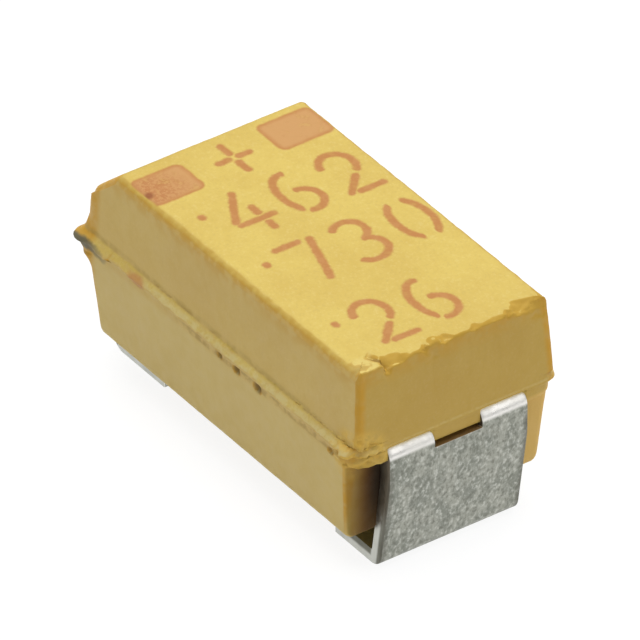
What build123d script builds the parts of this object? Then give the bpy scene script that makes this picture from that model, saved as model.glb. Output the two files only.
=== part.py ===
from build123d import *
import os
from math import hypot, radians, tan

# Tantalum chip capacitor in a moulded epoxy case, with a folded sheet-metal terminal at each end.
# Millimetres. The origin is the middle of the footprint, on the plane the two feet stand on.
# +Z is up and +X points to the negative end. The bevelled, marked positive end is at -X.

os.makedirs("parts", exist_ok=True)

# Overall
overall_length = 3.20
overall_height = 1.675

# Terminals, folded from one strip of lead frame
sheet_thickness = 0.11
terminal_width = 1.10
inner_bend_radius = 0.01
leg_knee_drop = 0.32
leg_knee_radius = 0.60
negative_leg_lean = 9.0
positive_leg_lean = 2.0
foot_length = 0.62

# Window in each terminal, which leaves two narrow tabs at the bend
window_width = 0.38
window_drop = 0.14
window_depth = 0.28

# Upper half of the case: its height over the parting plane, how far the legs stand out past its
# ends there, and how far the lower half stands out past its sides
upper_height = 0.635
leg_step = 0.025
side_step = 0.0275
upper_draft = 3.0
upper_corner_radius = 0.05
top_edge_radius = 0.04

# Bevel that marks the positive end
bevel_run = 0.34
bevel_drop = 0.30
bevel_foot_radius = 0.12

# Chips broken out of the top edge at the negative end, where the moulding gate was snapped off. Each
# has its place across the case, half its width, its reach over the top and its reach down the end.
edge_chips = [
    (-0.47, 0.11, 0.105, 0.060),
    (-0.22, 0.05, 0.060, 0.050),
    (-0.06, 0.06, 0.090, 0.040),
    (0.16, 0.06, 0.056, 0.030),
    (0.31, 0.05, 0.034, 0.022),
    (0.43, 0.05, 0.055, 0.040),
    (0.55, 0.09, 0.115, 0.060),
    (0.70, 0.10, 0.070, 0.120),
]

# Lower half of the case, measured just under the end ledges
lower_width = 1.635
lower_draft = 4.6
lower_corner_radius = 0.09
bottom_edge_radius = 0.08
leg_clearance = 0.005
foot_clearance = 0.16

# Ledge over the lower half, as thick as the sheet, that the tabs leave through
ledge_overhang = 0.006
ledge_corner_radius = 0.18

# Ridge of moulding flash along the parting plane
ridge_corner_radius = 0.12
ridge_reach = 0.015
ridge_tip = 0.02
ridge_flank = 0.045
ridge_slope = 40.0

# Tantalum wire, which starts a little way in from the window, and the pellet pressed around it
wire_diameter = 0.18
weld_depth = 0.01
wire_clearance = 0.15
wire_free_length = 0.55
wire_embedded_length = 0.85
pellet_width = 0.95
pellet_height = 0.66
pellet_edge_radius = 0.05

# Insulating washer on the wire, against the pellet
washer_diameter = 0.44
washer_thickness = 0.07
washer_clearance = 0.10

# Coats that the pellet is dipped in, from the inside out
oxide_coat = 0.02
graphite_coat = 0.02
silver_coat = 0.02
graphite_margin = 0.08
silver_margin = 0.14

# Silver adhesive under the pellet, and the bed of the negative terminal that carries it. The bed
# starts past the end of the pellet, and its joggle ends a little way in from the window.
adhesive_thickness = 0.02
adhesive_inset = 0.02
bed_length = 0.85
bed_clearance = 0.04
joggle_run = 0.22
joggle_clearance = 0.12

# Heights and places that follow from the sizes above
parting_height = overall_height - upper_height
upper_length = overall_length - 2 * leg_step
upper_width = lower_width - 2 * side_step
bend_radius = inner_bend_radius + sheet_thickness / 2
exit_height = parting_height - sheet_thickness / 2
foot_height = sheet_thickness / 2
ledge_height = parting_height - sheet_thickness
case_bottom = sheet_thickness + foot_clearance
lower_length = overall_length - 2 * (sheet_thickness + leg_clearance)
wire_height = parting_height + wire_diameter / 2 - weld_depth
all_coats = oxide_coat + graphite_coat + silver_coat
window_inner_x = overall_length / 2 - window_depth
wire_start_x = wire_clearance - window_inner_x
pellet_face_x = wire_start_x + wire_free_length
joggle_start_x = window_inner_x - joggle_clearance - joggle_run
pellet_end_x = joggle_start_x - bed_clearance - all_coats
bed_top = wire_height - pellet_height / 2 - all_coats - adhesive_thickness
bed_height = bed_top - sheet_thickness / 2

# The leg drops straight from its top corner to the knee, and leans in from there to the foot
corner_x = overall_length / 2 - sheet_thickness / 2
leg_knee_height = parting_height - leg_knee_drop
foot_end_x = overall_length / 2 - foot_length


def folded_strip(inner_points, side, leg_lean):
    """A strip folded along its inner points, its leg and its foot, with the window at its exit."""
    leg_foot_x = corner_x - (leg_knee_height - foot_height) * tan(radians(leg_lean))
    leg_points = [
        (side * corner_x, exit_height),
        (side * corner_x, leg_knee_height),
        (side * leg_foot_x, foot_height),
        (side * foot_end_x, foot_height),
    ]
    inner_bends = [bend_radius] * (len(inner_points) - 1)
    bends = inner_bends + [bend_radius, leg_knee_radius, bend_radius]
    with BuildPart() as strip:
        with BuildLine(Plane.XZ) as middle:
            FilletPolyline(*inner_points, *leg_points, radius=bends)
        start = Plane(origin=middle.line @ 0, x_dir=(0, 1, 0), z_dir=middle.line % 0)
        with BuildSketch(start):
            Rectangle(terminal_width, sheet_thickness)
        sweep()
        with BuildSketch(Plane.XY.offset(parting_height)):
            with Locations((side * (window_inner_x + window_depth / 2), 0)):
                Rectangle(window_depth, window_width)
        extrude(amount=-window_drop, mode=Mode.SUBTRACT)
    return strip.part


def dipped_block(growth, start_x):
    """The pellet's outer form, grown by the coats on it, from start_x to its closed end."""
    with BuildPart() as block:
        with BuildSketch(Plane.YZ.offset(start_x)):
            with Locations((0, wire_height)):
                RectangleRounded(
                    pellet_width + 2 * growth,
                    pellet_height + 2 * growth,
                    pellet_edge_radius + growth,
                )
        extrude(amount=pellet_end_x + growth - start_x)
        fillet(block.edges().group_by(Axis.X)[-1], (pellet_edge_radius + growth) * 0.9)
    return block.part


# Tantalum wire: it runs from the weld on the positive terminal into the pellet
with BuildPart() as tantalum_wire:
    with BuildSketch(Plane.YZ.offset(wire_start_x)):
        with Locations((0, wire_height)):
            Circle(wire_diameter / 2)
    extrude(amount=wire_free_length + wire_embedded_length)

# Pellet of sintered tantalum powder, pressed around the wire
with BuildPart() as tantalum_pellet:
    add(dipped_block(0, pellet_face_x))
    add(tantalum_wire.part, mode=Mode.SUBTRACT)

# Insulating washer, pushed along the wire against the pellet
with BuildPart() as insulating_washer:
    with BuildSketch(Plane.YZ.offset(pellet_face_x)):
        with Locations((0, wire_height)):
            Circle(washer_diameter / 2)
            Circle(wire_diameter / 2, mode=Mode.SUBTRACT)
    extrude(amount=-washer_thickness)

# Manganese dioxide, the solid electrolyte: it covers the whole pellet up to the washer
with BuildPart() as manganese_dioxide_layer:
    add(dipped_block(oxide_coat, pellet_face_x - oxide_coat))
    add(dipped_block(0, pellet_face_x), mode=Mode.SUBTRACT)
    with BuildSketch(Plane.YZ.offset(pellet_face_x)):
        with Locations((0, wire_height)):
            Circle(washer_diameter / 2)
    extrude(amount=-oxide_coat, mode=Mode.SUBTRACT)

# Graphite, a cup that stops short of the wire end
with BuildPart() as graphite_layer:
    add(dipped_block(oxide_coat + graphite_coat, pellet_face_x + graphite_margin))
    add(dipped_block(oxide_coat, pellet_face_x), mode=Mode.SUBTRACT)

# Silver, the last coat, which stops a little further back
with BuildPart() as silver_layer:
    add(dipped_block(all_coats, pellet_face_x + silver_margin))
    add(dipped_block(oxide_coat + graphite_coat, pellet_face_x), mode=Mode.SUBTRACT)

# Positive terminal: a flat tab that the wire is bedded and welded on, then the leg and the foot
tab_end_x = pellet_face_x - washer_thickness - washer_clearance
with BuildPart() as positive_terminal:
    add(folded_strip([(tab_end_x, exit_height)], -1, positive_leg_lean))
    add(tantalum_wire.part, mode=Mode.SUBTRACT)

# Negative terminal: a bed under the pellet, a joggle up to the parting plane, the leg and the foot
bed_points = [
    (joggle_start_x - bed_length, bed_height),
    (joggle_start_x, bed_height),
    (joggle_start_x + joggle_run, exit_height),
]
with BuildPart() as negative_terminal:
    add(folded_strip(bed_points, 1, negative_leg_lean))

# Silver adhesive between the bed and the flat underside of the silver coat
bed_flat_end_x = joggle_start_x - bend_radius
coat_flat_end_x = pellet_end_x - pellet_edge_radius
adhesive_end_x = min(bed_flat_end_x, coat_flat_end_x) - adhesive_inset
adhesive_length = adhesive_end_x - (joggle_start_x - bed_length) - adhesive_inset
adhesive_width = min(pellet_width - 2 * pellet_edge_radius, terminal_width) - 2 * adhesive_inset
with BuildPart() as silver_adhesive:
    with BuildSketch(Plane.XY.offset(bed_top)):
        with Locations((adhesive_end_x - adhesive_length / 2, 0)):
            Rectangle(adhesive_length, adhesive_width)
    extrude(amount=adhesive_thickness)


def is_upright(edge):
    """Whether an edge climbs the case, rather than lying across it."""
    return abs(edge.tangent_at(0.5).Z) > 0.5


# Upper half of the case, with the bevel that marks the positive end. Each chip is a notch of two flat
# facets, whose valley runs from the top face out to the end face.
top_half_length = upper_length / 2 - upper_height * tan(radians(upper_draft))
bevel_top = (bevel_run - top_half_length, overall_height)
with BuildPart() as upper_half:
    with BuildSketch(Plane.XY.offset(parting_height)):
        Rectangle(upper_length, upper_width)
    extrude(amount=upper_height, taper=upper_draft)
    with BuildSketch(Plane.XZ):
        with BuildLine():
            Polyline(
                bevel_top,
                (bevel_top[0] - 2 * bevel_run, overall_height - 2 * bevel_drop),
                (bevel_top[0] - 2 * bevel_run, overall_height),
                close=True,
            )
        make_face()
    extrude(amount=upper_width, both=True, mode=Mode.SUBTRACT)
    bevel_foot = upper_half.edges().filter_by(Axis.Y).sort_by(Axis.Z)[2]
    fillet(bevel_foot, min(bevel_foot_radius, upper_height - bevel_drop))
    fillet(upper_half.edges().filter_by(is_upright), upper_corner_radius)
    fillet(upper_half.faces().sort_by(Axis.Z)[-1].edges(), top_edge_radius)
    for chip_y, chip_half_width, chip_over, chip_down in edge_chips:
        valley_start = (top_half_length - chip_over, chip_y, overall_height)
        valley_length = hypot(chip_over, chip_down)
        edge_depth = chip_over * chip_down / valley_length
        valley = Plane(origin=valley_start, x_dir=(0, 1, 0), z_dir=(chip_over, 0, -chip_down))
        with BuildSketch(valley):
            with BuildLine():
                Polyline(
                    (0, 0),
                    (2 * chip_half_width, 2 * edge_depth),
                    (-2 * chip_half_width, 2 * edge_depth),
                    close=True,
                )
            make_face()
        extrude(amount=2 * valley_length, both=True, mode=Mode.SUBTRACT)

# Lower half of the case, which leaves room for the legs at its ends
with BuildPart() as lower_half:
    with BuildSketch(Plane.XY.offset(ledge_height)):
        Rectangle(lower_length, lower_width)
    extrude(amount=ledge_height - case_bottom, dir=(0, 0, -1), taper=lower_draft)
    fillet(lower_half.edges().filter_by(is_upright), lower_corner_radius)
    fillet(lower_half.faces().sort_by(Axis.Z)[0].edges(), bottom_edge_radius)

# Case: both halves, the ledges as thick as the lead frame, and the flash at the parting plane,
# moulded in one around everything inside
with BuildPart() as case:
    add(upper_half.part)
    add(lower_half.part)
    with BuildSketch(Plane.XY.offset(ledge_height)):
        RectangleRounded(upper_length, lower_width + 2 * ledge_overhang, ledge_corner_radius)
    extrude(amount=sheet_thickness)
    with BuildSketch(Plane.XY.offset(parting_height + ridge_tip / 2)) as ridge:
        RectangleRounded(
            upper_length + 2 * ridge_reach,
            lower_width + 2 * ridge_reach,
            ridge_corner_radius,
        )
    extrude(amount=-ridge_tip)
    extrude(ridge.sketch, amount=ridge_flank, taper=ridge_slope)
    for inner in (
        tantalum_wire,
        tantalum_pellet,
        insulating_washer,
        manganese_dioxide_layer,
        graphite_layer,
        silver_layer,
        silver_adhesive,
        positive_terminal,
        negative_terminal,
    ):
        add(inner.part, mode=Mode.SUBTRACT)

case.part.label = "case"
positive_terminal.part.label = "positive_terminal"
negative_terminal.part.label = "negative_terminal"
tantalum_wire.part.label = "tantalum_wire"
tantalum_pellet.part.label = "tantalum_pellet"
insulating_washer.part.label = "insulating_washer"
manganese_dioxide_layer.part.label = "manganese_dioxide_layer"
graphite_layer.part.label = "graphite_layer"
silver_layer.part.label = "silver_layer"
silver_adhesive.part.label = "silver_adhesive"

export_step(case.part, "parts/case.step")
export_step(positive_terminal.part, "parts/positive_terminal.step")
export_step(negative_terminal.part, "parts/negative_terminal.step")
export_step(tantalum_wire.part, "parts/tantalum_wire.step")
export_step(tantalum_pellet.part, "parts/tantalum_pellet.step")
export_step(insulating_washer.part, "parts/insulating_washer.step")
export_step(manganese_dioxide_layer.part, "parts/manganese_dioxide_layer.step")
export_step(graphite_layer.part, "parts/graphite_layer.step")
export_step(silver_layer.part, "parts/silver_layer.step")
export_step(silver_adhesive.part, "parts/silver_adhesive.step")
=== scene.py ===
from math import cos, pi, radians, sin, tan

import bmesh
import bpy
import numpy as np
from mathutils import Matrix, Vector, noise


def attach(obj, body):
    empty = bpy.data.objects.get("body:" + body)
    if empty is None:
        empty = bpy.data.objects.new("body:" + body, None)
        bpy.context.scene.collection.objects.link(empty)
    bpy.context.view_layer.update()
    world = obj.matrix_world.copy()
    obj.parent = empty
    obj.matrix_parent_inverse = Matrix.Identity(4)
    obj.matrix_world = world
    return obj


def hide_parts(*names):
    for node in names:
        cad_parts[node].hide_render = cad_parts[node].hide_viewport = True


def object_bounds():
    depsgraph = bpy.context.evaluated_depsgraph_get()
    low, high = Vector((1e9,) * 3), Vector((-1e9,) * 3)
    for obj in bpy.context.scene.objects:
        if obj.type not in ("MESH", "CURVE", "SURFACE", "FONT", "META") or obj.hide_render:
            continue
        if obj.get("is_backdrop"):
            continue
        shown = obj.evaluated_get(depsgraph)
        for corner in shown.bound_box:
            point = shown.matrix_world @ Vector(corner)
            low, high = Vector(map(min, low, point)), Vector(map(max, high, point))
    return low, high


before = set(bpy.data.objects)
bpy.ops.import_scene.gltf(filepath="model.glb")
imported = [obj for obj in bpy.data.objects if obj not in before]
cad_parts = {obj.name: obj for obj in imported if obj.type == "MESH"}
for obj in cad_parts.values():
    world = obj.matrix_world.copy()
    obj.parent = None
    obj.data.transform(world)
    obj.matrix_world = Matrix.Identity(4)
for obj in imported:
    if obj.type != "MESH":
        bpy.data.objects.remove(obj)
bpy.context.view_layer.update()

mm = 0.001

# Case
# Golden epoxy resin, transfer-moulded in one shot round the finished capacitor. The mould closes on
# the lead frame, which leaves a ledge at each end and a rim of flash all round. The top edge at the
# negative end is chipped.
parting_height = 1.04
sheet_thickness = 0.11
case_top = 1.675
case_bottom = 0.27
upper_half_length = 1.575
upper_half_width = 0.796
upper_draft = tan(radians(3.0))
upper_corner = 0.08
upper_corner_change = 0.042
top_edge = 0.06
broken_edge = 0.012
bevel_run = 0.34
bevel_slope = 0.3 / bevel_run
bevel_foot = 0.12
lower_half_length = 1.485
lower_half_width = 0.8175
lower_draft = tan(radians(4.6))
lower_corner = 0.06
least_lower_corner = 0.005
bottom_edge = 0.08
ledge_half_width = lower_half_width + 0.006
ledge_corner = 0.18
ridge_reach = 0.015
ridge_tip = 0.02
ridge_flank = 0.045
ridge_bulge = 0.002
ridge_half_width = lower_half_width + ridge_reach
ridge_corner = 0.12
ridge_slope = tan(radians(40.0))
ledge_bottom = parting_height - sheet_thickness
ridge_low = parting_height - ridge_tip / 2
ridge_high = parting_height + ridge_tip / 2
ridge_top = ridge_high + ridge_flank
under_ridge = ridge_low - 0.008
least_upper_corner = 0.006


def around(long_steps, end_steps, corner_steps):
    """For each point round a rounded rectangle, the side it is on and the way it faces, along x and y."""
    rows = []
    signs = [(-1, -1), (1, -1), (1, 1), (-1, 1)]
    for k, (sx, sy) in enumerate(signs):
        nx, ny = signs[(k + 1) % 4]
        angle = radians(90.0 * (k - 1))
        steps = long_steps if k % 2 == 0 else end_steps
        for t in np.linspace(0.0, 1.0, steps):
            rows.append((sx + (nx - sx) * t, sy + (ny - sy) * t, cos(angle), sin(angle)))
        for t in np.linspace(0.0, 1.0, corner_steps + 2)[1:-1]:
            turn = angle + t * pi / 2
            rows.append((nx, ny, cos(turn), sin(turn)))
    return np.array(rows).T


side_x, side_y, out_x, out_y = around(170, 130, 8)
far_end = np.maximum(0.0, -out_x)
near_end = np.maximum(0.0, out_x)
wall_corner = upper_corner - upper_corner_change * side_x


def outline(half_length, half_width, corner):
    """Points round a rounded rectangle of that size. Each size may differ from point to point."""
    x = side_x * (half_length - corner) + out_x * corner
    y = side_y * (half_width - corner) + out_y * corner
    return x, y


def top_of_case(x):
    """Height of the top face at x: flat, and sloping down over the bevel at the positive end."""
    bevel_top = -(upper_half_length - (case_top - parting_height) * upper_draft) + bevel_run
    slope = case_top + (x - bevel_top) * bevel_slope
    blend = 0.02
    flat_share = np.clip(0.5 + 0.5 * (slope - case_top) / blend, 0.0, 1.0)
    rounding = blend * flat_share * (1 - flat_share) * 0.5
    return slope * (1 - flat_share) + case_top * flat_share - rounding


rings = []


def add_ring(x, y, z):
    """One more ring of the case, at the height or heights z."""
    rings.append(np.stack([x, y, z + 0 * x], axis=1))


def lower_ring(z, inset=0.0):
    """A ring of the lower half at height z, drawn in from the wall by an inset."""
    drop = (ledge_bottom - z) * lower_draft + inset
    corner = max(lower_corner - inset, least_lower_corner)
    add_ring(*outline(lower_half_length - drop, lower_half_width - drop, corner), z)


underside_inset = 0.74
for inset in np.linspace(underside_inset, bottom_edge + 0.03, 18):
    lower_ring(case_bottom, inset)
for turn in np.radians(np.linspace(90.0, 0.0, 8)):
    lower_ring(case_bottom + bottom_edge * (1 - sin(turn)), bottom_edge * (1 - cos(turn)))
for z in np.linspace(case_bottom + bottom_edge, ledge_bottom, 24)[1:]:
    lower_ring(z)
first_ledge_ring = len(rings)
for share in np.linspace(0.08, 1.0, 6):
    z = ledge_bottom + (under_ridge - ledge_bottom) * share
    half_width = lower_half_width + (ledge_half_width - lower_half_width) * share
    add_ring(*outline(upper_half_length, half_width, ledge_corner), z)

# The ridge of flash, which stands out least at the near end
first_ridge_ring = len(rings)
ridge_half_length = upper_half_length + ridge_reach * (0.35 + 0.65 * far_end)
for z, bulge in ((ridge_low, 0.0), (parting_height, ridge_bulge), (ridge_high, 0.0)):
    add_ring(*outline(ridge_half_length + bulge, ridge_half_width + bulge, ridge_corner), z)


def upper_half(z):
    """Half the length and half the width of the upper half at height z."""
    drop = (z - parting_height) * upper_draft
    return upper_half_length - drop, upper_half_width - drop


for z in np.linspace(ridge_high, ridge_top, 6)[1:]:
    drop = (z - ridge_high) * ridge_slope
    half_length = np.maximum(upper_half(z)[0], ridge_half_length - drop)
    add_ring(*outline(half_length, ridge_half_width - drop, ridge_corner), z)
last_ridge_ring = len(rings)

# The wall runs up to the start of the edge's arc, which is lower where the bevel meets it
top_length, top_width = upper_half(case_top)
edge_x = outline(top_length, top_width, wall_corner)[0]
edge_z = top_of_case(edge_x)
rise = np.arctan(bevel_slope * far_end)
edge_radius = top_edge + (bevel_foot - top_edge) * far_end - (top_edge - broken_edge) * near_end
tangent = edge_radius * np.tan((pi / 2 - rise) / 2)
wall_share = np.concatenate([np.linspace(0.0, 0.72, 20), np.linspace(0.74, 1.0, 14)])
for share in wall_share:
    z = (ridge_top + 0.004) * (1 - share) + (edge_z - tangent) * share
    half_length, half_width = upper_half(z)
    add_ring(*outline(half_length, half_width, wall_corner), z)
for share in np.linspace(0.0, 1.0, 9)[1:]:
    turn = pi - share * (pi / 2 - rise)
    inset = edge_radius * (1 + np.cos(turn))
    z = edge_z - tangent + edge_radius * np.sin(turn)
    corner = np.maximum(wall_corner - inset, least_upper_corner)
    add_ring(*outline(top_length - inset, top_width - inset, corner), z)
top_start = len(rings)
start_inset = edge_radius * (1 - np.sin(rise))
middle_inset = 0.7
for share in np.concatenate([np.linspace(0.015, 0.2, 12), np.linspace(0.24, 1.0, 20)]):
    inset = start_inset * (1 - share) + middle_inset * share
    corner = np.maximum(wall_corner - inset, least_upper_corner)
    x, y = outline(top_length - inset, top_width - inset, corner)
    add_ring(x, y, top_of_case(x))

points = np.concatenate(rings)
around_count = len(side_x)
ring_count = len(rings)
ring_of = np.repeat(np.arange(ring_count), around_count)
outward_x = np.tile(out_x, ring_count)
outward_y = np.tile(out_y, ring_count)


def ripple(scale, seed):
    """Smooth noise of about unit size at each point, with features 1 / scale millimetres across."""
    shift = Vector((seed * 7.3, seed * 3.1, seed * 5.7))
    return np.array([noise.noise(Vector(p) * scale + shift) for p in points])


def ripples(*layers):
    """Several sizes of noise on top of each other. Each layer is its scale, seed and height."""
    return sum(ripple(scale, seed) * height for scale, seed, height in layers)


def hill(away):
    """The height of a smooth hill, 1 at its centre and 0 where the distance away reaches 1."""
    return np.where(away < 1, (1 - np.minimum(away, 1) ** 2) ** 2, 0.0)


def bump_at(centre, radius):
    """A smooth hill of height 1 and that radius round a point, for each point of the case."""
    return hill(np.linalg.norm(points - np.array(centre), axis=1) / radius)


# Slight waviness of the moulded walls, which grows along the edges
in_ridge = (ring_of >= first_ridge_ring) & (ring_of < last_ridge_ring)
edge_share = np.exp(-((points[:, 2] - case_top) / 0.05) ** 2) * (ring_of < top_start)
wave = ripples((4.0, 1, 0.0016), (24.0, 2, 0.001))
wave += ripple(14.0, 3) * 0.006 * edge_share
points[:, 0] += outward_x * wave
points[:, 1] += outward_y * wave
points[:, 2] += np.where(ring_of >= top_start, 1.0, 0.0) * wave

# Flash at the parting plane: a rim of uneven reach and height, with lumps near the corners. Each lump
# is its centre, its radius, how far it stands out and how far it is lifted.
along_sides = 1.0 - 0.85 * np.tile(near_end, ring_count)
flash = ripples((4.0, 4, 0.006), (18.0, 5, 0.007), (45.0, 15, 0.005)) * in_ridge * along_sides
flash_lumps = [
    ((1.46, -0.84, parting_height), 0.1, 0.026, 0.004),
    ((1.36, -0.84, parting_height), 0.05, 0.018, 0.012),
    ((-1.3, -0.84, parting_height), 0.16, 0.016, -0.015),
    ((1.58, 0.8, parting_height), 0.06, 0.014, 0.0),
]
lifted = 0 * flash
for centre, radius, reach, lift in flash_lumps:
    flash_lump = bump_at(centre, radius) * in_ridge
    flash = flash + flash_lump * reach
    lifted = lifted + flash_lump * lift
flash_share_at_ends = 0.35
points[:, 0] += outward_x * flash * flash_share_at_ends
points[:, 1] += outward_y * flash
points[:, 2] += lifted + ripples((9.0, 6, 0.006), (40.0, 16, 0.006)) * in_ridge * along_sides

# The flash at the far left corner is a thick beak, whose two sides taper back to the wall. It fades
# away at the first and the last of these heights.
beak_x, beak_y, beak_radius = -1.57, -0.82, 0.16
beak_reach_x, beak_reach_y, beak_droop = 0.075, 0.06, 0.02
beak_heights = (0.82, 0.93, 1.02, 1.04, 1.2)
beak_shares = (0.0, 0.55, 0.95, 1.0, 0.0)
beak = hill(np.hypot(points[:, 0] - beak_x, points[:, 1] - beak_y) / beak_radius)
beak *= np.interp(points[:, 2], beak_heights, beak_shares)
beak *= np.where(ring_of < first_ledge_ring, 3.4, np.where(ring_of < first_ridge_ring, 1.7, 1.0))
points[:, 0] += outward_x * beak * beak_reach_x
points[:, 1] += outward_y * beak * beak_reach_y
points[:, 2] -= beak * beak_droop

# Crumbs of flash that cling to the near left corner of the ledge
crumbs = bump_at((1.54, -0.76, ledge_bottom + 0.07), 0.26) * (ring_of >= first_ledge_ring)
crumbs *= ripples((20.0, 11, 0.058), (45.0, 12, 0.013))
points[:, 0] += outward_x * crumbs
points[:, 1] += outward_y * crumbs

# Over each tab the ledge stands back a little, so that the top of the bend shows
terminal_half_width = 0.55
window_half_width = 0.19
tab_recess = 0.022
tab_soften = 0.01
across = np.abs(points[:, 1])
over_tab = np.clip((across - window_half_width) / tab_soften, 0, 1)
over_tab *= np.clip((terminal_half_width - across) / tab_soften, 0, 1)
over_tab *= (ring_of >= first_ledge_ring) & (points[:, 2] < ridge_high - 0.012) & (points[:, 0] > 1.5)
points[:, 0] -= over_tab * tab_recess

# Broken top edge at the negative end: along y, how far the break reaches over the top and down
edge_break = [
    (-0.8, 0.0, 0.0),
    (-0.57, 0.0, 0.0),
    (-0.52, 0.105, 0.06),
    (-0.42, 0.08, 0.04),
    (-0.33, 0.016, 0.016),
    (-0.25, 0.022, 0.016),
    (-0.215, 0.06, 0.05),
    (-0.18, 0.015, 0.04),
    (-0.11, 0.015, 0.016),
    (-0.06, 0.09, 0.04),
    (0.0, 0.014, 0.014),
    (0.13, 0.01, 0.012),
    (0.165, 0.056, 0.03),
    (0.25, 0.016, 0.012),
    (0.315, 0.034, 0.022),
    (0.4, 0.016, 0.012),
    (0.435, 0.055, 0.04),
    (0.47, 0.03, 0.02),
    (0.53, 0.115, 0.045),
    (0.65, 0.075, 0.075),
    (0.78, 0.025, 0.12),
]
no_break = 1e-5
break_y, break_over, break_down = np.array(edge_break).T
jittered_y = points[:, 1] + ripples((16.0, 7, 0.026), (45.0, 17, 0.012))
over = np.interp(jittered_y, break_y, break_over) + no_break
down = np.interp(jittered_y, break_y, break_down) + no_break
length = np.hypot(over, down)
normal_x, normal_z = down / length, over / length
beyond = (points[:, 0] - (top_length - over)) * normal_x + (points[:, 2] - case_top) * normal_z
softness = np.clip(0.003 + 0.3 * (case_top - points[:, 2]), 0.003, 0.03)
beyond = softness * np.logaddexp(0.0, beyond / softness) * (ring_of >= last_ridge_ring)
beyond = np.where(beyond > 0.0005, beyond, 0.0)
beyond *= 1.0 + ripple(22.0, 8) * 0.25
beyond += (ripple(40.0, 9) + 0.3) * 0.003 * np.clip(beyond / 0.01, 0, 1)
points[:, 0] -= normal_x * beyond
points[:, 2] -= normal_z * beyond

# Smeared lump and groove at the left end of that edge, and a burr further along
upper = ring_of >= last_ridge_ring
smear = bump_at((top_length - 0.05, -0.68, case_top), 0.14) * upper
smear *= 0.8 + ripple(22.0, 10) * 0.9
points[:, 0] += smear * 0.01
points[:, 2] += smear * 0.022
burr = bump_at((top_length - 0.045, -0.135, case_top), 0.055) * upper
points[:, 2] += burr * 0.02
burr_end = bump_at((top_length, -0.19, case_top - 0.12), 0.06) * upper
points[:, 0] += burr_end * 0.008
groove_start = (top_length - 0.14, -0.579, case_top + 0.01)
groove_end = (top_length, -0.52, case_top - 0.05)
groove_width = 0.024
groove_depth = 0.02
groove_run = np.array(groove_end) - groove_start
run_share = np.clip((points - groove_start) @ groove_run / (groove_run @ groove_run), 0.0, 1.0)
from_groove = np.linalg.norm(points - groove_start - run_share[:, None] * groove_run, axis=1)
gouge = np.exp(-((from_groove / groove_width) ** 2)) * upper * groove_depth
points[:, 0] -= gouge
points[:, 2] -= gouge

# Pores in the wall just under the flash: each one's x, height and radius
pores = [(0.06, 0.995, 0.03), (0.25, 0.988, 0.045), (0.485, 0.984, 0.055), (1.31, 0.965, 0.035)]
pore_depth = 0.03
for x, z, radius in pores:
    pore = bump_at((x, -ledge_half_width, z), radius) * (ring_of < first_ridge_ring)
    points[:, 1] += pore * pore_depth


def add_object(name, data):
    """A new object in the scene."""
    made = bpy.data.objects.new(name, data)
    bpy.context.scene.collection.objects.link(made)
    return made


def shell(name, vertices, faces):
    """A mesh object from vertices in millimetres, none of them loose, with its faces turned outwards."""
    mesh = bpy.data.meshes.new(name)
    mesh.from_pydata([tuple(v * mm) for v in np.asarray(vertices)], [], faces)
    made = bmesh.new()
    made.from_mesh(mesh)
    loose = [v for v in made.verts if not v.link_faces]
    bmesh.ops.delete(made, geom=loose, context="VERTS")
    bmesh.ops.recalc_face_normals(made, faces=made.faces)
    made.to_mesh(mesh)
    made.free()
    for face in mesh.polygons:
        face.use_smooth = True
    return add_object(name, mesh)


faces = []
for r in range(ring_count - 1):
    low, high = r * around_count, (r + 1) * around_count
    for k in range(around_count):
        n = (k + 1) % around_count
        faces.append((low + k, low + n, high + n, high + k))
faces.append(tuple(range(around_count))[::-1])
faces.append(tuple((ring_count - 1) * around_count + k for k in range(around_count)))
moulded_case = shell("moulded_case", points, faces)
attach(moulded_case, "root")
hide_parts("case")


def group(name, inputs, outputs):
    """A new shader node group with those sockets, and its input and output nodes."""
    tree = bpy.data.node_groups.new(name, "ShaderNodeTree")
    for label, kind, value in inputs:
        socket = tree.interface.new_socket(label, in_out="INPUT", socket_type="NodeSocket" + kind)
        if value is not None:
            socket.default_value = value
    for label, kind in outputs:
        tree.interface.new_socket(label, in_out="OUTPUT", socket_type="NodeSocket" + kind)
    return tree, tree.nodes.new("NodeGroupInput"), tree.nodes.new("NodeGroupOutput")


def add_node(tree, kind, inputs=None, **settings):
    """A node of that kind. Its inputs are values, or output sockets that are linked to it."""
    node = tree.nodes.new("ShaderNode" + kind)
    for key, value in settings.items():
        setattr(node, key, value)
    for key, value in (inputs or {}).items():
        if isinstance(value, bpy.types.NodeSocket):
            tree.links.new(value, node.inputs[key])
        else:
            node.inputs[key].default_value = value
    return node


def from_group(tree, kind, **inputs):
    """The outputs of a node that holds that group."""
    return add_node(tree, "Group", inputs, node_tree=kind).outputs


def axes(tree, vector):
    """The three parts of a vector."""
    return add_node(tree, "SeparateXYZ", {0: vector}).outputs


def calc(tree, operation, *values, clamp=False):
    """The result of one Math node."""
    node = add_node(tree, "Math", dict(enumerate(values)), operation=operation, use_clamp=clamp)
    return node.outputs[0]


def product(tree, *values):
    """All the values multiplied together."""
    result = values[0]
    for value in values[1:]:
        result = calc(tree, "MULTIPLY", result, value)
    return result


def uneven(tree, value, grain_value, amount):
    """The value, made uneven by a grain that runs from 0 to 1 round a half."""
    return calc(tree, "ADD", value, product(tree, calc(tree, "SUBTRACT", grain_value, 0.5), amount))


def vector_calc(tree, operation, *values):
    """The result of one Vector Math node: a number if it measures something, or else a vector."""
    node = add_node(tree, "VectorMath", dict(enumerate(values)), operation=operation)
    return node.outputs[1 if operation in ("DISTANCE", "DOT_PRODUCT", "LENGTH") else 0]


def distance_to(tree, place, point):
    """The distance from a place to a point."""
    return vector_calc(tree, "DISTANCE", place, point)


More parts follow.
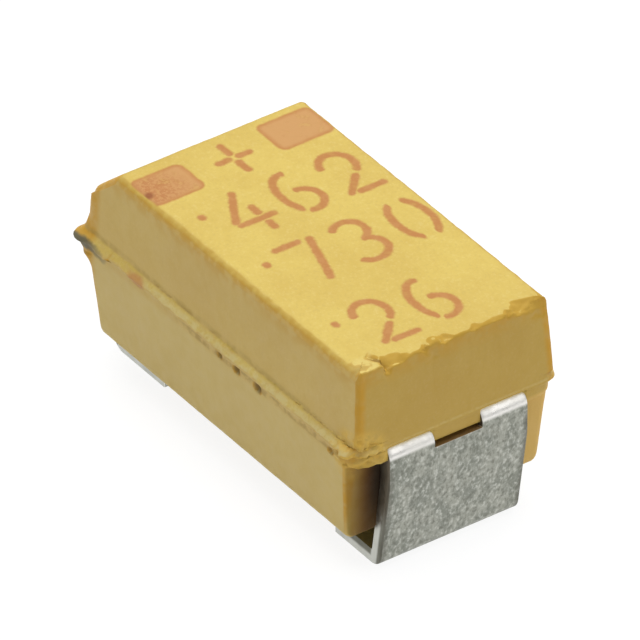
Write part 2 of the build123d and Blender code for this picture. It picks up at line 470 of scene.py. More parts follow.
def fade(tree, value, start, end, low=0.0, high=1.0):
    """The value, mapped smoothly from start..end onto low..high."""
    inputs = {"Value": value, "From Min": start, "From Max": end, "To Min": low, "To Max": high}
    return add_node(tree, "MapRange", inputs, interpolation_type="SMOOTHSTEP").outputs["Result"]


def zone(tree, *limits):
    """The product of several fades. Each has its value, start and end, and low and high if need be."""
    return product(tree, *(fade(tree, *limit) for limit in limits))


def mix(tree, share, first, second):
    """One colour mixed into another by a share."""
    node = add_node(tree, "Mix", {"Factor": share}, data_type="RGBA")
    for key, value in ((6, first), (7, second)):
        if isinstance(value, bpy.types.NodeSocket):
            tree.links.new(value, node.inputs[key])
        else:
            node.inputs[key].default_value = (*value, 1.0)
    return node.outputs[2]


def material(name, roughness=0.5, metallic=0.0, specular=0.5):
    """A material with one Principled shader, and the position on the part in millimetres."""
    made = bpy.data.materials.new(name)
    made.use_nodes = True
    tree = made.node_tree
    tree.nodes.clear()
    output = tree.nodes.new("ShaderNodeOutputMaterial")
    shader = tree.nodes.new("ShaderNodeBsdfPrincipled")
    shader.inputs["Roughness"].default_value = roughness
    shader.inputs["Metallic"].default_value = metallic
    shader.inputs["Specular IOR Level"].default_value = specular
    tree.links.new(shader.outputs[0], output.inputs[0])
    place = add_node(tree, "TexCoord").outputs["Object"]
    place = vector_calc(tree, "MULTIPLY", place, (1 / mm,) * 3)
    return made, tree, shader, place


def roughen(tree, shader, relief, strength, depth):
    """Makes the shader's surface bumpy, by a relief of that strength and depth in millimetres."""
    bump = add_node(tree, "Bump", {"Height": relief, "Strength": strength, "Distance": depth * mm})
    tree.links.new(bump.outputs[0], shader.inputs["Normal"])


# Grain: two sizes of soft mottling and a fine speckle, used by every finish of the part
grain, group_in, group_out = group(
    "grain",
    [("Place", "Vector", None), ("Scale", "Float", 10.0), ("Stretch", "Vector", (1.0, 1.0, 1.0))],
    [("Cloud", "Float"), ("Mottle", "Float"), ("Speckle", "Float")],
)
stretched = vector_calc(grain, "MULTIPLY", group_in.outputs["Place"], group_in.outputs["Stretch"])
for label, times, detail in (("Cloud", 0.12, 3.0), ("Mottle", 1.0, 4.0), ("Speckle", 4.0, 2.0)):
    noise_inputs = {
        "Vector": stretched,
        "Scale": product(grain, group_in.outputs["Scale"], times),
        "Detail": detail,
        "Roughness": 0.6,
    }
    texture = add_node(grain, "TexNoise", noise_inputs)
    grain.links.new(texture.outputs["Fac"], group_out.inputs[label])

# Stroke: how near a place is to a straight middle line, or the nearest line so far if that is nearer
far_away = 9.0
stroke, group_in, group_out = group(
    "stroke",
    [
        ("Place", "Vector", None),
        ("From", "Vector", None),
        ("To", "Vector", None),
        ("Nearest", "Float", far_away),
    ],
    [("Nearest", "Float")],
)
start = group_in.outputs["From"]
reach = vector_calc(stroke, "SUBTRACT", group_in.outputs["To"], start)
offset = vector_calc(stroke, "SUBTRACT", group_in.outputs["Place"], start)
run = vector_calc(stroke, "DOT_PRODUCT", offset, reach)
whole = vector_calc(stroke, "DOT_PRODUCT", reach, reach)
run_share = calc(stroke, "DIVIDE", run, calc(stroke, "MAXIMUM", whole, 1e-6), clamp=True)
along_line = add_node(stroke, "VectorMath", {0: reach, "Scale": run_share}, operation="SCALE")
distance = distance_to(stroke, offset, along_line.outputs[0])
nearer = calc(stroke, "MINIMUM", distance, group_in.outputs["Nearest"])
stroke.links.new(nearer, group_out.inputs["Nearest"])

# Arc: the same for a curved stroke, part of an ellipse either side of its middle direction
arc, group_in, group_out = group(
    "arc",
    [
        ("Place", "Vector", None),
        ("Centre", "Vector", None),
        ("Radii", "Vector", (1.0, 1.0, 1.0)),
        ("Middle", "Vector", None),
        ("Spread", "Float", 0.5),
        ("Nearest", "Float", far_away),
    ],
    [("Nearest", "Float")],
)
end_bluntness = 0.2
radii = group_in.outputs["Radii"]
from_centre = vector_calc(arc, "SUBTRACT", group_in.outputs["Place"], group_in.outputs["Centre"])
offset = vector_calc(arc, "DIVIDE", from_centre, radii)
size = vector_calc(arc, "LENGTH", offset)
steepness = vector_calc(arc, "LENGTH", vector_calc(arc, "DIVIDE", offset, radii))
steepness = calc(arc, "DIVIDE", steepness, size)
off_ring = calc(arc, "DIVIDE", calc(arc, "SUBTRACT", size, 1.0), steepness)
direction = vector_calc(arc, "NORMALIZE", offset)
toward = vector_calc(arc, "DOT_PRODUCT", direction, group_in.outputs["Middle"])
past_end = calc(arc, "MAXIMUM", calc(arc, "SUBTRACT", group_in.outputs["Spread"], toward), 0.0)
past_end = product(arc, past_end, end_bluntness)
squares = [product(arc, off_ring, off_ring), product(arc, past_end, past_end)]
distance = calc(arc, "SQRT", calc(arc, "ADD", *squares))
nearer = calc(arc, "MINIMUM", distance, group_in.outputs["Nearest"])
arc.links.new(nearer, group_out.inputs["Nearest"])

# The resin: yellow with clouds and mottles of ochre, and with pale and dark specks
epoxy, tree, shader, place = material("golden_epoxy", roughness=0.55, specular=0.4)
cloud, mottle, speckle = from_group(tree, grain, Place=place, Scale=12.0)
yellow = (0.768, 0.573, 0.132)
ochre = (0.62, 0.4, 0.075)
pale_speck = (0.9, 0.78, 0.4)
dark_speck = (0.58, 0.41, 0.11)
colour = mix(tree, fade(tree, cloud, 0.35, 0.7, 0.0, 0.35), yellow, ochre)
colour = mix(tree, fade(tree, mottle, 0.45, 0.75, 0.0, 0.18), colour, ochre)
colour = mix(tree, fade(tree, speckle, 0.52, 0.72, 0.0, 0.18), colour, pale_speck)
colour = mix(tree, fade(tree, speckle, 0.48, 0.28, 0.0, 0.25), colour, dark_speck)
lengthways, sideways, height = axes(tree, place)
true_normal = add_node(tree, "NewGeometry").outputs["Normal"]
facing_along, facing_aside, facing_up = axes(tree, true_normal)
on_end = calc(tree, "ABSOLUTE", facing_along)
on_side = calc(tree, "ABSOLUTE", facing_aside)

# Painted light and shade by facing: long walls duller than the top, their lower halves paler, end walls
# deeper
shaded_long_wall_tan = (0.745, 0.513, 0.183)
lower_wall_tan = (0.78, 0.62, 0.24)
shaded_end_wall_brown = (0.55, 0.31, 0.05)
colour = mix(tree, fade(tree, on_side, 0.7, 0.95, 0.0, 0.55), colour, shaded_long_wall_tan)
lower_wall = zone(tree, (on_side, 0.7, 0.95, 0.0, 0.5), (height, 0.99, 0.93))
colour = mix(tree, lower_wall, colour, lower_wall_tan)
colour = mix(tree, fade(tree, on_end, 0.7, 0.95, 0.0, 0.55), colour, shaded_end_wall_brown)

# Painted shade: more orange where the upper half is rounded, which is where no flat side is squarely faced
edge_shade_orange = (0.56, 0.31, 0.035)
bevel_normal = Vector((-bevel_slope, 0.0, 1.0)).normalized()
squareness = None
for direction in ((1.0, 0.0, 0.0), (0.0, 1.0, 0.0), (0.0, 0.0, 1.0), bevel_normal):
    faced = calc(tree, "ABSOLUTE", vector_calc(tree, "DOT_PRODUCT", true_normal, direction))
    squareness = faced if squareness is None else calc(tree, "MAXIMUM", squareness, faced)
rounded_edge_shade = zone(tree, (squareness, 0.985, 0.86), (mottle, 0.3, 0.6, 0.2, 0.6), (height, 1.12, 1.17))
colour = mix(tree, rounded_edge_shade, colour, edge_shade_orange)

# Painted shade also beside the upright edges of the upper half; orange in a patchy band under the top edge
rim_shade_orange = (0.7, 0.37, 0.025)
band_orange = (0.68, 0.37, 0.04)
draft_shift = product(tree, calc(tree, "SUBTRACT", height, parting_height), upper_draft)
end_reach = calc(tree, "ADD", calc(tree, "ABSOLUTE", sideways), draft_shift)
end_rim_shade = zone(tree, (end_reach, 0.715, 0.76), (on_end, 0.08, 0.3))
side_reach = calc(tree, "SUBTRACT", draft_shift, lengthways)
side_rim_shade = zone(tree, (side_reach, 1.36, 1.45), (on_side, 0.2, 0.5))
upright_rim_shade = calc(tree, "MAXIMUM", end_rim_shade, side_rim_shade)
upright_rim_shade = product(tree, upright_rim_shade, fade(tree, mottle, 0.25, 0.6, 0.5, 0.92))
colour = mix(tree, upright_rim_shade, colour, rim_shade_orange)
top_band = zone(tree, (height, 1.5, 1.65, 0.0, 0.6), (facing_up, 0.8, 0.5), (mottle, 0.38, 0.58, 0.25, 1.0))
colour = mix(tree, top_band, colour, band_orange)

# Facets of the broken edge at the negative end
break_brown = (0.6, 0.36, 0.045)
broken = zone(
    tree,
    (lengthways, 1.37, 1.41),
    (height, 1.45, 1.52),
    (facing_up, 0.12, 0.45),
    (facing_up, 0.985, 0.94),
    (on_side, 0.65, 0.45, 0.0, 0.85),
)
colour = mix(tree, broken, colour, break_brown)

# The smeared lump left of the break is pale, with one dark groove across it
smear_yellow = (0.93, 0.83, 0.38)
groove_brown = (0.3, 0.16, 0.02)
smeared = fade(tree, distance_to(tree, place, (1.47, -0.66, case_top)), 0.13, 0.05, 0.0, 0.2)
smeared = product(tree, smeared, fade(tree, facing_up, 0.2, 0.6))
colour = mix(tree, smeared, colour, smear_yellow)
groove = from_group(tree, stroke, Place=place, From=groove_start, To=groove_end)[0]
groove = fade(tree, uneven(tree, groove, mottle, 0.03), 0.03, 0.012, 0.0, 0.85)
colour = mix(tree, groove, colour, groove_brown)

# Crumbs at the near left corner of the ledge, and the brightly lit resin right of the negative lead
crumb_orange = (0.86, 0.56, 0.1)
bright_orange = (0.9, 0.58, 0.16)
crumb_zone = distance_to(tree, place, (1.54, -0.76, ledge_bottom + 0.08))
crumb_zone = zone(tree, (crumb_zone, 0.26, 0.16), (mottle, 0.35, 0.6, 0.2, 0.9))
colour = mix(tree, crumb_zone, colour, crumb_orange)
beside_lead = zone(tree, (sideways, 0.48, 0.56), (height, 0.98, 0.94), (on_end, 0.3, 0.7, 0.0, 0.75))
colour = mix(tree, beside_lead, colour, bright_orange)

# Flash worn pale, with a painted highlight, along its upper side; painted shade in patches under and over
# it
worn_and_highlit_flash = (0.8, 0.67, 0.31)
shade_under_flash_brown = (0.45, 0.29, 0.07)
crease_shade_brown = (0.5, 0.35, 0.09)
flash_wear_and_highlight = zone(
    tree,
    (height, 1.03, 1.045),
    (height, 1.095, 1.068),
    (facing_up, 0.15, 0.45),
    (mottle, 0.35, 0.6, 0.15, 0.7),
    (on_end, 0.7, 0.4, 0.5, 1.0),
    (lengthways, -1.05, -0.6, 0.1, 1.0),
)
colour = mix(tree, flash_wear_and_highlight, colour, worn_and_highlit_flash)
painted_shadow_under_flash = zone(
    tree,
    (height, 0.955, 0.985),
    (height, 1.03, 1.015),
    (sideways, -0.7, -0.78),
    (mottle, 0.4, 0.6, 0.0, 0.6),
    (lengthways, -0.6, -0.2),
)
colour = mix(tree, painted_shadow_under_flash, colour, shade_under_flash_brown)
painted_crease_shade = zone(
    tree,
    (height, 1.085, 1.1),
    (height, 1.15, 1.115),
    (sideways, -0.7, -0.75),
    (mottle, 0.4, 0.6, 0.15, 0.5),
)
colour = mix(tree, painted_crease_shade, colour, crease_shade_brown)

# One rusty stain on the flash, and a grey painted shadow under the beak at its far tip
rust = (0.66, 0.27, 0.09)
beak_shadow_grey = (0.13, 0.135, 0.09)
beak_tip = (-1.64, -0.88, parting_height - 0.015)
beak_root = (-1.3, -0.84, parting_height - 0.045)
stain = vector_calc(tree, "SUBTRACT", place, (-0.89, -0.83, 1.04))
stain = vector_calc(tree, "LENGTH", vector_calc(tree, "MULTIPLY", stain, (1.0, 1.0, 2.2)))
stain = fade(tree, uneven(tree, stain, mottle, 0.08), 0.125, 0.06, 0.0, 0.65)
colour = mix(tree, stain, colour, rust)
beak_shadow = from_group(tree, stroke, Place=place, From=beak_tip, To=beak_root)[0]
beak_shadow = fade(tree, uneven(tree, beak_shadow, mottle, 0.05), 0.072, 0.04)
beak_shadow = product(tree, beak_shadow, fade(tree, lengthways, -1.18, -1.5, 0.2, 0.92))
colour = mix(tree, beak_shadow, colour, beak_shadow_grey)

# The pores are painted dark
pore_dark = (0.13, 0.09, 0.03)
for x, z, radius in pores:
    in_pore = distance_to(tree, place, (x, -ledge_half_width, z))
    colour = mix(tree, fade(tree, in_pore, radius, radius * 0.45, 0.0, 0.8), colour, pore_dark)

# Painted shade in the corners under and over the flash, from ambient occlusion
corner_shade_brown = (0.42, 0.23, 0.03)
occlusion = add_node(tree, "AmbientOcclusion", {"Distance": 0.05 * mm}, samples=6, only_local=True)
colour = mix(tree, fade(tree, occlusion.outputs["AO"], 0.75, 0.3, 0.0, 0.45), colour, corner_shade_brown)

# Painted shade on the resin left of the negative lead, under the ledge: brown, and black close to the lead
recess_shade_brown = (0.1, 0.034, 0.003)
recess_shade_black = (0.016, 0.012, 0.006)
recess_shade = zone(
    tree,
    (height, 0.935, 0.91),
    (lengthways, 1.38, 1.425),
    (sideways, 0.6, 0.4),
    (sideways, -0.83, -0.62, 0.35, 0.96),
    (on_end, 0.35, 0.75),
    (height, 0.35, 0.8, 0.93, 1.0),
)
colour = mix(tree, recess_shade, colour, recess_shade_brown)
deep_recess_shade = zone(tree, (sideways, -0.68, -0.56), (height, 0.2, 0.65, 0.3, 1.0))
deep_recess_shade = product(tree, deep_recess_shade, recess_shade, 0.85)
colour = mix(tree, deep_recess_shade, colour, recess_shade_black)

# Stencilled rating: every stroke is part of one field, the distance to the nearest stroke. The place
# it is measured from wanders a little, as the edge of a stencilled mark does.
flat_place = vector_calc(tree, "MULTIPLY", place, (1.0, 1.0, 0.0))
wander = add_node(tree, "TexNoise", {"Vector": flat_place, "Scale": 14.0, "Detail": 3.0})
wander_reach = 0.02
shift = vector_calc(tree, "SUBTRACT", wander.outputs["Color"], (0.5, 0.5, 0.5))
shift = add_node(tree, "VectorMath", {0: shift, "Scale": wander_reach}, operation="SCALE").outputs[0]
print_place = vector_calc(tree, "ADD", flat_place, shift)

# Straight strokes run from one place across and down the digit to another, as shares of its size
digit_lines = {
    "2": [(0.56, 0.64, 0.1, 0.97), (0.32, 1.0, 0.9, 1.0)],
    "4": [
        (0.6, 0.0, 0.05, 0.62),
        (0.1, 0.72, 0.95, 0.72),
        (0.68, 0.42, 0.68, 0.58),
        (0.68, 0.86, 0.68, 1.0),
    ],
    "7": [(0.02, 0.02, 0.6, 0.02), (0.9, 0.05, 0.46, 0.98)],
    "+": [(0.5, 0.15, 0.5, 0.38), (0.5, 0.62, 0.5, 0.85), (0.1, 0.5, 0.36, 0.5), (0.64, 0.5, 0.9, 0.5)],
}
# An arc has a centre and two radii, across and down, and its middle direction and half its spread
digit_arcs = {
    "0": [(0.5, 0.5, 0.42, 0.5, 180, 60), (0.5, 0.5, 0.42, 0.5, 0, 60)],
    "2": [(0.44, 0.3, 0.4, 0.3, -60, 108)],
    "3": [(0.42, 0.25, 0.38, 0.25, -40, 105), (0.4, 0.74, 0.44, 0.27, 35, 105)],
    "6": [(0.52, 0.5, 0.44, 0.5, 205, 72), (0.5, 0.72, 0.38, 0.27, 10, 100)],
}
digit_height = 0.46
digit_width = 0.3
digit_pitch = 0.4
stroke_half_width = 0.028
rating_rows = [("462", -0.6, -0.44), ("730", 0.08, -0.4), ("26", 0.88, -0.42), ("+", -1.16, -0.16)]
dot_offset = (0.1, -0.13)
dot_length = 0.012


def add_stroke(kind, nearest, **inputs):
    """The distance to the nearest stroke of the print, with one more stroke in it."""
    inputs["Place"] = print_place
    if nearest is not None:
        inputs["Nearest"] = nearest
    return from_group(tree, kind, **inputs)[0]


nearest = None
for text, row_x, row_y in rating_rows:
    if len(text) > 1:
        dot = Vector((row_x + dot_offset[0], row_y + dot_offset[1], 0.0))
        nearest = add_stroke(stroke, nearest, From=dot, To=dot + Vector((dot_length, 0.0, 0.0)))
    for count, digit in enumerate(text):
        first_y = row_y + count * digit_pitch
        for across, down, last_across, last_down in digit_lines.get(digit, []):
            nearest = add_stroke(
                stroke,
                nearest,
                From=(row_x + down * digit_height, first_y + across * digit_width, 0.0),
                To=(row_x + last_down * digit_height, first_y + last_across * digit_width, 0.0),
            )
        for across, down, reach_across, reach_down, angle, spread in digit_arcs.get(digit, []):
            nearest = add_stroke(
                arc,
                nearest,
                Centre=(row_x + down * digit_height, first_y + across * digit_width, 0.0),
                Radii=(reach_down * digit_height, reach_across * digit_width, 1.0),
                Middle=(sin(radians(angle)), cos(radians(angle)), 0.0),
                Spread=cos(radians(spread)),
            )
nearest = uneven(tree, nearest, speckle, 0.012)
ink = fade(tree, nearest, stroke_half_width + 0.014, stroke_half_width - 0.012)

# Two polarity blocks at the positive end, each with its corners rounded and its middle paler
polarity_blocks = [((-1.1, -0.745), (-0.76, -0.335)), ((-1.14, 0.29), (-0.8, 0.735))]
block_corner = 0.06
block_soften = 0.012
block_border = 0.05
print_axes = axes(tree, print_place)
in_block = None
for low, high in polarity_blocks:
    squares = []
    for axis in (0, 1):
        middle = (low[axis] + high[axis]) / 2
        half = (high[axis] - low[axis]) / 2 - block_corner
        off_middle = calc(tree, "ABSOLUTE", calc(tree, "SUBTRACT", print_axes[axis], middle))
        over_edge = calc(tree, "MAXIMUM", calc(tree, "SUBTRACT", off_middle, half), 0.0)
        squares.append(product(tree, over_edge, over_edge))
    outside = calc(tree, "SQRT", calc(tree, "ADD", *squares))
    block = fade(tree, outside, block_corner + block_soften, block_corner - block_soften)
    block_middle = fade(tree, outside, block_corner, block_corner - block_border)
    ink = calc(tree, "MAXIMUM", ink, block)
    in_block = block_middle if in_block is None else calc(tree, "MAXIMUM", in_block, block_middle)

# The strokes are a burnt orange and the blocks a lighter one. The left block is smudged darker and has
# one burn mark.
stroke_ink = (0.56, 0.235, 0.062)
block_ink = (0.66, 0.35, 0.125)
dark_ink = (0.52, 0.19, 0.055)
burnt_ink = (0.3, 0.08, 0.02)
on_top = fade(tree, facing_up, 0.8, 0.95)
ink = product(tree, ink, on_top, fade(tree, mottle, 0.28, 0.5, 0.78, 1.0))
ink_colour = mix(tree, fade(tree, mottle, 0.45, 0.62, 0.0, 0.35), stroke_ink, block_ink)
ink_colour = mix(tree, in_block, ink_colour, block_ink)
smudge = fade(tree, distance_to(tree, print_place, (-0.9, -0.7, 0.0)), 0.4, 0.06)
smudge = calc(tree, "ADD", smudge, fade(tree, mottle, 0.5, 0.4, 0.0, 0.45))
smudge = calc(tree, "MULTIPLY", smudge, fade(tree, speckle, 0.4, 0.6, 0.25, 0.75), clamp=True)
ink_colour = mix(tree, product(tree, smudge, in_block), ink_colour, dark_ink)
colour = mix(tree, ink, colour, ink_colour)
burn = fade(tree, distance_to(tree, print_place, (-0.9, -0.71, 0.0)), 0.05, 0.015, 0.0, 0.8)
colour = mix(tree, product(tree, burn, on_top), colour, burnt_ink)
tree.links.new(colour, shader.inputs["Base Color"])

# The break and the painted recess are duller than the moulded skin, and a fine grain covers all of it
dull = product(tree, calc(tree, "MAXIMUM", broken, recess_shade), 0.25)
dull = calc(tree, "ADD", fade(tree, mottle, 0.3, 0.7, 0.5, 0.66), dull, clamp=True)
tree.links.new(dull, shader.inputs["Roughness"])
relief = calc(tree, "ADD", product(tree, mottle, 0.7), product(tree, speckle, 0.3))
roughen(tree, shader, relief, 0.35, 0.006)
moulded_case.data.materials.append(epoxy)

# Terminals
# Stamped from one strip of tinned lead frame, 0.11 mm thick, with a window that leaves two narrow tabs
# at the bend. After the moulding each is bent down over its end of the case and in under it.
half_length = 1.6
window_start = 1.32
window_bottom = 0.9
knee_height = 0.72
knee_radius = 0.6
negative_lean = tan(radians(9.0))
positive_lean = tan(radians(2.0))
bend_radius = 0.065
foot_end = 0.98
path_step = 0.03
arc_points = 14
edge_rounding = 0.017
middle_exit = parting_height - sheet_thickness / 2
middle_foot = sheet_thickness / 2
corner_x = half_length - sheet_thickness / 2


def rounded_path(corners, radii, step):
    """Points along a line of straight runs, with an arc of the given radius at each inner corner."""
    path = [np.array(corners[0])]
    for before, corner, after, radius in zip(corners, corners[1:], corners[2:], radii):
        before, corner, after = np.array(before), np.array(corner), np.array(after)
        back = (before - corner) / np.linalg.norm(before - corner)
        ahead = (after - corner) / np.linalg.norm(after - corner)
        half_angle = np.arccos(np.clip(back @ ahead, -1, 1)) / 2
        tangent_length = radius / tan(half_angle)
        middle = (back + ahead) / np.linalg.norm(back + ahead)
        centre = corner + middle * radius / sin(half_angle)
        first = corner + back * tangent_length - centre
        last = corner + ahead * tangent_length - centre
        start_angle = np.arctan2(first[1], first[0])
        sweep = (np.arctan2(last[1], last[0]) - start_angle + pi) % (2 * pi) - pi
        for angle in start_angle + np.linspace(0.0, sweep, arc_points):
            path.append(centre + radius * np.array((cos(angle), sin(angle))))
    path.append(np.array(corners[-1]))
    filled = [path[0]]
    for point in path[1:]:
        gap = np.linalg.norm(point - filled[-1])
        pieces = max(1, int(np.ceil(gap / step)))
        start = filled[-1]
        filled += [start + (point - start) * k / pieces for k in range(1, pieces + 1)]
    return np.array(filled)


def split_path(path, inside, axis, level):
    """The path with one more point, at a level of one axis, where it first goes in or out."""
    k = np.where(inside[:-1] != inside[1:])[0][0]
    t = (level - path[k, axis]) / (path[k + 1, axis] - path[k, axis])
    return np.insert(path, k + 1, path[k] + (path[k + 1] - path[k]) * t, axis=0)


def folded_terminal(name, inner_corners, side, leg_lean):
    """A strip of sheet along its corners, with the window cut at the bend, as one closed mesh."""
    leg_foot_x = corner_x - (knee_height - middle_foot) * leg_lean
    corners = inner_corners + [
        (corner_x, middle_exit),
        (corner_x, knee_height),
        (leg_foot_x, middle_foot),
        (foot_end, middle_foot),
    ]
    radii = [bend_radius] * (len(inner_corners) - 1) + [bend_radius, knee_radius, bend_radius]
    path = rounded_path(corners, radii, path_step)
    path = split_path(path, path[:, 0] >= window_start, 0, window_start)
    on_leg = (path[:, 0] > window_start) & (path[:, 1] <= window_bottom)
    path = split_path(path, on_leg, 1, window_bottom)
    tangents = np.gradient(path, axis=0)
    tangents /= np.linalg.norm(tangents, axis=1)[:, None]
    normals = np.stack([-tangents[:, 1], tangents[:, 0]], axis=1)
    across = np.unique(np.concatenate([
        np.linspace(-terminal_half_width, -window_half_width, 12),
        np.linspace(-window_half_width, window_half_width, 13),
        np.linspace(window_half_width, terminal_half_width, 12),
    ]).round(6))
    rows, columns = len(path), len(across)
    vertices = []
    for face in (1, -1):
        for point, normal in zip(path, normals):
            x, z = point + normal * face * sheet_thickness / 2
            vertices += [(x * side, y, z) for y in across]
    solid = np.ones((rows - 1, columns - 1), bool)
    middles = (across[:-1] + across[1:]) / 2
    in_window = np.abs(middles) < window_half_width
    centre_x = (path[:-1, 0] + path[1:, 0]) / 2
    centre_z = (path[:-1, 1] + path[1:, 1]) / 2
    cut_rows = (centre_x > window_start) & (centre_z > window_bottom)
    solid[np.ix_(cut_rows, in_window)] = False
    framed = np.pad(solid, 1)
    faces = []
    layer = rows * columns
    for r in range(rows - 1):
        for c in range(columns - 1):
            if not solid[r, c]:
                continue
            a, b = r * columns + c, r * columns + c + 1
            d, e = a + columns, b + columns
            faces.append((a, b, e, d))
            faces.append((a + layer, d + layer, e + layer, b + layer))
            for solid_beside, p, q in (
                (framed[r, c + 1], a, b),
                (framed[r + 2, c + 1], e, d),
                (framed[r + 1, c], d, a),
                (framed[r + 1, c + 2], b, e),
            ):
                if not solid_beside:
                    faces.append((q, p, p + layer, q + layer))
    piece = shell(name, vertices, faces)
    rounding = piece.modifiers.new("Rounding", "BEVEL")
    rounding.width = edge_rounding * mm
    rounding.segments = 2
    rounding.limit_method = "ANGLE"
    rounding.angle_limit = radians(50)
    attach(piece, "root")
    return piece


# Tin: grey and blotchy, with pale and dark specks and fine crystals
tin, tree, shader, place = material("matte_tin", roughness=0.42, metallic=0.85)
mottle, speckle = from_group(tree, grain, Place=place, Scale=9.0, Stretch=(1.0, 1.0, 0.75))[1:]
crystal = add_node(tree, "TexVoronoi", {"Vector": place, "Scale": 26.0, "Randomness": 1.0})
dark_tin = (0.27, 0.282, 0.24)
light_tin = (0.43, 0.437, 0.38)
pale_speck = (0.7, 0.705, 0.65)
dark_speck = (0.14, 0.14, 0.112)
colour = mix(tree, fade(tree, mottle, 0.36, 0.64), dark_tin, light_tin)
colour = mix(tree, fade(tree, speckle, 0.5, 0.72, 0.0, 0.62), colour, pale_speck)
colour = mix(tree, fade(tree, speckle, 0.5, 0.28, 0.0, 0.55), colour, dark_speck)
true_normal = add_node(tree, "NewGeometry").outputs["Normal"]
facing_aside, facing_up = axes(tree, true_normal)[1:]
lengthways, sideways, height = axes(tree, place)
facing_aside = calc(tree, "ABSOLUTE", facing_aside)

# The outside of each top bend is burnished by the forming tool, and its near white is a painted highlight
highlight_white_tin = (0.99, 0.97, 0.92)
burnished_highlight = zone(tree, (facing_up, 0.05, 0.3), (height, 0.89, 0.915))
colour = mix(tree, product(tree, burnished_highlight, 0.95), colour, highlight_white_tin)

# How far a point of the leg lies behind its outer face, which leans in below the knee
lean = fade(tree, lengthways, -0.1, 0.1, positive_lean, negative_lean)
leg_set_back = product(tree, calc(tree, "SUBTRACT", knee_height, height), lean)
leg_face = calc(tree, "SUBTRACT", half_length, leg_set_back)
into_sheet = calc(tree, "SUBTRACT", leg_face, calc(tree, "ABSOLUTE", lengthways))
on_leg = fade(tree, into_sheet, 0.125, 0.105)

# The cut side of the sheet has painted shade above, in the gap by the case. Below it has a painted
# highlight line, along the inner half of the leg and on round the bend along the lower half of the foot.
gap_shade_brown = (0.2, 0.175, 0.13)
sheared_dark = (0.17, 0.17, 0.135)
highlight_grey = (0.64, 0.65, 0.6)
cut_side = fade(tree, facing_aside, 0.75, 0.95)
highlight_line = calc(tree, "MAXIMUM", on_leg, fade(tree, height, 0.07, 0.045))
highlight_line = product(tree, highlight_line, fade(tree, into_sheet, 0.04, 0.062))
side_colour = mix(tree, highlight_line, sheared_dark, highlight_grey)
lower_side = product(tree, cut_side, fade(tree, height, 0.5, 0.3, 0.0, 0.95))
colour = mix(tree, lower_side, colour, side_colour)
upper_side_shade = product(tree, cut_side, fade(tree, height, 0.3, 0.55, 0.0, 0.95))
colour = mix(tree, upper_side_shade, colour, gap_shade_brown)

# Painted highlight on the rounded edge beside that line, and painted shade all along the outer face of the
# leg
edge_highlight_white = (0.95, 0.96, 0.92)
edge_shade_dark = (0.12, 0.115, 0.09)
edge_highlight = zone(tree, (facing_aside, 0.2, 0.45), (facing_aside, 0.97, 0.85), (height, 0.5, 0.35, 0.0, 0.8))
edge_highlight = product(tree, edge_highlight, highlight_line)
colour = mix(tree, edge_highlight, colour, edge_highlight_white)
face_edge_shade = product(
    tree,
    fade(tree, calc(tree, "ABSOLUTE", sideways), 0.5, 0.54),
    on_leg,
    fade(tree, into_sheet, 0.03, 0.018, 0.0, 0.55),
)
colour = mix(tree, face_edge_shade, colour, edge_shade_dark)

# Painted shade on the upper side of the foot, under the case, and on the window's sill
foot_shade_olive = (0.27, 0.26, 0.18)
sill_shade_brown = (0.26, 0.17, 0.08)
foot_top_shade = zone(tree, (facing_up, 0.5, 0.8), (height, 0.2, 0.15, 0.0, 0.9))
colour = mix(tree, foot_top_shade, colour, foot_shade_olive)
sill_shade = zone(tree, (facing_up, 0.8, 0.95), (height, 0.93, 0.915), (height, 0.8, 0.85))
colour = mix(tree, sill_shade, colour, sill_shade_brown)
tree.links.new(colour, shader.inputs["Base Color"])
tree.links.new(fade(tree, burnished_highlight, 0.0, 1.0, 0.85, 0.8), shader.inputs["Metallic"])
tin_roughness = fade(tree, mottle, 0.3, 0.7, 0.4, 0.62)
tin_roughness = calc(tree, "SUBTRACT", tin_roughness, product(tree, burnished_highlight, 0.14))
tree.links.new(tin_roughness, shader.inputs["Roughness"])
relief = calc(tree, "ADD", product(tree, crystal.outputs["Distance"], 0.6), speckle)
roughen(tree, shader, relief, 0.35, 0.003)

bed_start = 0.13
bed_height = 0.655
joggle_start = 0.98
joggle_end = 1.2
tab_end = 0.79
negative_corners = [(bed_start, bed_height), (joggle_start, bed_height), (joggle_end, middle_exit)]
negative_lead = folded_terminal("negative_lead", negative_corners, 1, negative_lean)
positive_lead = folded_terminal("positive_lead", [(tab_end, middle_exit)], -1, positive_lean)
for lead, node in ((negative_lead, "negative_terminal"), (positive_lead, "positive_terminal")):
    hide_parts(node)
    lead.data.materials.append(tin)

# Inner pieces
# The wire, pellet, washer, coats and adhesive keep their CAD solids. Each gets the finish of what it
# is made of: drawn tantalum, dark sintered powder, white plastic, brown-black oxide, matt graphite and
# silver paint. The list gives its darker and lighter colour, roughness, metallic share and grain.
inner_finishes = [
    ("tantalum_wire", (0.42, 0.42, 0.45), (0.58, 0.58, 0.6), 0.35, 1.0, 30.0),
    ("tantalum_pellet", (0.1, 0.1, 0.11), (0.24, 0.24, 0.25), 0.85, 0.4, 40.0),
    ("insulating_washer", (0.82, 0.82, 0.8), (0.93, 0.93, 0.92), 0.45, 0.0, 12.0),
    ("manganese_dioxide_layer", (0.025, 0.022, 0.02), (0.07, 0.06, 0.055), 0.75, 0.0, 26.0),
    ("graphite_layer", (0.03, 0.03, 0.032), (0.09, 0.09, 0.095), 0.6, 0.3, 20.0),
    ("silver_layer", (0.6, 0.6, 0.58), (0.8, 0.8, 0.78), 0.5, 0.8, 24.0),
    ("silver_adhesive", (0.52, 0.51, 0.49), (0.72, 0.71, 0.69), 0.6, 0.7, 18.0),
]
roughness_spread = 0.12
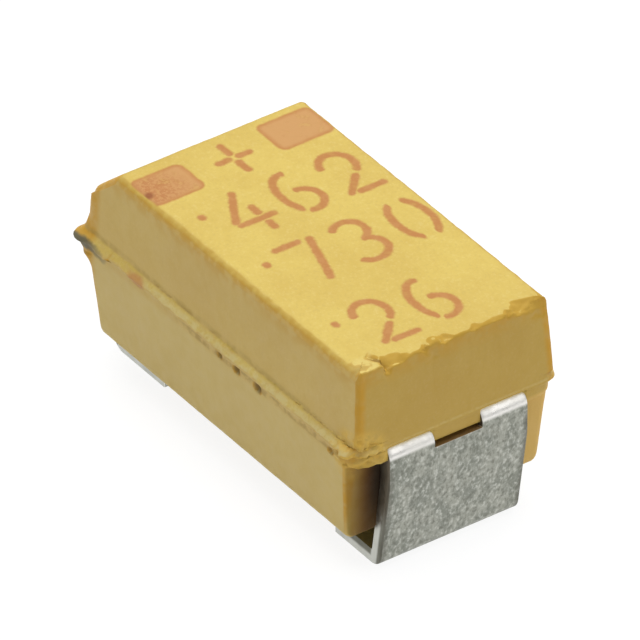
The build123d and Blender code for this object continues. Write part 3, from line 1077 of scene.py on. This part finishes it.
for node, dark, light, roughness, metallic, scale in inner_finishes:
    finish, tree, shader, place = material(node + "_finish", roughness=roughness, metallic=metallic)
    mottle, speckle = from_group(tree, grain, Place=place, Scale=scale)[1:]
    tree.links.new(mix(tree, fade(tree, mottle, 0.3, 0.7), dark, light), shader.inputs["Base Color"])
    low, high = roughness - roughness_spread, roughness + roughness_spread
    tree.links.new(fade(tree, speckle, 0.3, 0.7, low, high), shader.inputs["Roughness"])
    roughen(tree, shader, speckle, 0.4, 0.005)
    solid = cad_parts[node]
    solid.data.materials.clear()
    solid.data.materials.append(finish)

# Floor
# A plain white sheet that runs on past the view and takes the part's soft shadow. It glows white to
# the camera and to what mirrors it, and is grey to all other light, so that it doesn't light the part.
floor_reach = 0.6
floor_height = -0.002 * mm
floor_signs = ((-1, -1), (1, -1), (1, 1), (-1, 1))
floor_corners = [(sx * floor_reach, sy * floor_reach, floor_height) for sx, sy in floor_signs]
floor_mesh = bpy.data.meshes.new("floor")
floor_mesh.from_pydata(floor_corners, [], [(0, 1, 2, 3)])
floor = add_object("floor", floor_mesh)
floor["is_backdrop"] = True
paper, tree, shader = material("white_paper", roughness=0.9, specular=0.1)[:3]
rays = add_node(tree, "LightPath")
seen = calc(tree, "MAXIMUM", rays.outputs["Is Camera Ray"], rays.outputs["Is Glossy Ray"])
tree.links.new(mix(tree, seen, (0.8, 0.8, 0.8), (0.2, 0.2, 0.2)), shader.inputs["Base Color"])
tree.links.new(mix(tree, seen, (0.0, 0.0, 0.0), (0.88, 0.88, 0.88)), shader.inputs["Emission Color"])
shader.inputs["Emission Strength"].default_value = 1.0
floor.data.materials.append(paper)

# Light
# A wide soft box overhead and an even pale room, so that colours come out about as they are written.
# A dim box low on the right is what the top bends of the negative lead mirror.
world = bpy.data.worlds.new("room")
bpy.context.scene.world = world
world.use_nodes = True
background = world.node_tree.nodes["Background"]
background.inputs["Color"].default_value = (1.0, 1.0, 1.0, 1.0)
background.inputs["Strength"].default_value = 0.3


def soft_box(name, location, size, watts):
    """A square lamp of that size in metres, turned towards the middle of the part."""
    lamp = bpy.data.lights.new(name, "AREA")
    lamp.shape = "SQUARE"
    lamp.size = size
    lamp.energy = watts
    holder = add_object(name, lamp)
    holder.location = location
    aim = Vector((0.0, 0.0, 1.0 * mm)) - Vector(location)
    holder.rotation_euler = aim.to_track_quat("-Z", "Y").to_euler()


soft_box("overhead", (-0.004, 0.002, 0.028), 0.034, 0.00775)
soft_box("rim", (0.022, 0.014, 0.0145), 0.016, 0.00084)

# Camera
# A long lens, looking down at the marked top from over the corner between a long side and the
# negative end. Its place, lens and roll were worked out from the case's corners in the photograph.
azimuth = radians(54.884)
elevation = radians(35.831)
roll = radians(-0.192)
distance = 0.106338
back = Vector((sin(azimuth) * cos(elevation), -cos(azimuth) * cos(elevation), sin(elevation)))
level_right = Vector((cos(azimuth), sin(azimuth), 0.0))
level_up = back.cross(level_right)
right = level_right * cos(roll) + level_up * sin(roll)
up = level_up * cos(roll) - level_right * sin(roll)
target = Vector((0.0, 0.0, 0.8 * mm)) + right * 0.01843 * mm + up * 0.08294 * mm
camera_data = bpy.data.cameras.new("camera")
camera_data.sensor_width = 36.0
camera_data.lens = 910.53
camera_data.clip_start = 0.01
camera_data.clip_end = 10.0
camera = add_object("camera", camera_data)
turned_to = Matrix((right, up, back)).transposed().to_4x4()
camera.matrix_world = Matrix.Translation(target + back * distance) @ turned_to
bpy.context.scene.camera = camera
bpy.context.scene.view_settings.view_transform = "Standard"

low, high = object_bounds()
